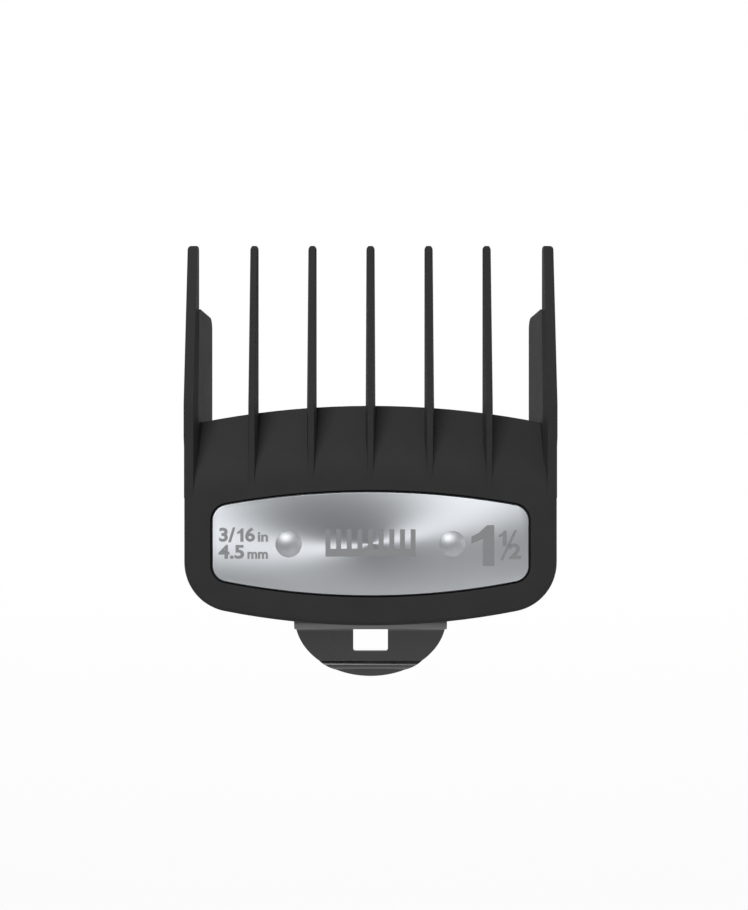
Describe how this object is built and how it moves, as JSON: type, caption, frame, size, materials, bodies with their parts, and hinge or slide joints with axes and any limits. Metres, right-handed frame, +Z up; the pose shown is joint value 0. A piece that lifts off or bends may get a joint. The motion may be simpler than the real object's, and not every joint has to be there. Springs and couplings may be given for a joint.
{
  "type": "clipper guard comb",
  "caption": "Slip-on guard comb for a hair clipper: moulded comb with upright teeth and side walls, riveted metal front plate and a spring clip that holds the blade's heel.",
  "frame": {"origin": "the face that the clipper's blade rests on, at the comb's middle, 20 mm above the body's lower edge", "axes": "+X across the comb to the right as seen from the front plate, +Y from the front plate towards the blade, +Z up along the teeth to their tips"},
  "size_m": [0.05, 0.0131, 0.0604],
  "materials": {
    "moulding": "satin black, finely grained",
    "plate_steel": "satin",
    "rivet_steel": "satin",
    "clip_steel": "dark satin"
  },
  "bodies": {
    "comb": {"comb_body": "moulding", "front_plate": "plate_steel", "rivet_left": "rivet_steel", "rivet_right": "rivet_steel", "clip_leg": "clip_steel"},
    "clip": {"clip_tab": "clip_steel"}
  },
  "joints": [
    {"name": "clip_release", "type": "hinge", "parent": "comb", "child": "clip", "pos_m": [0, -0.00065, -0.02015], "axis": [-1, 0, 0], "range_deg": [0, 14], "stiffness_Nm_per_rad": 0.25}
  ]
}
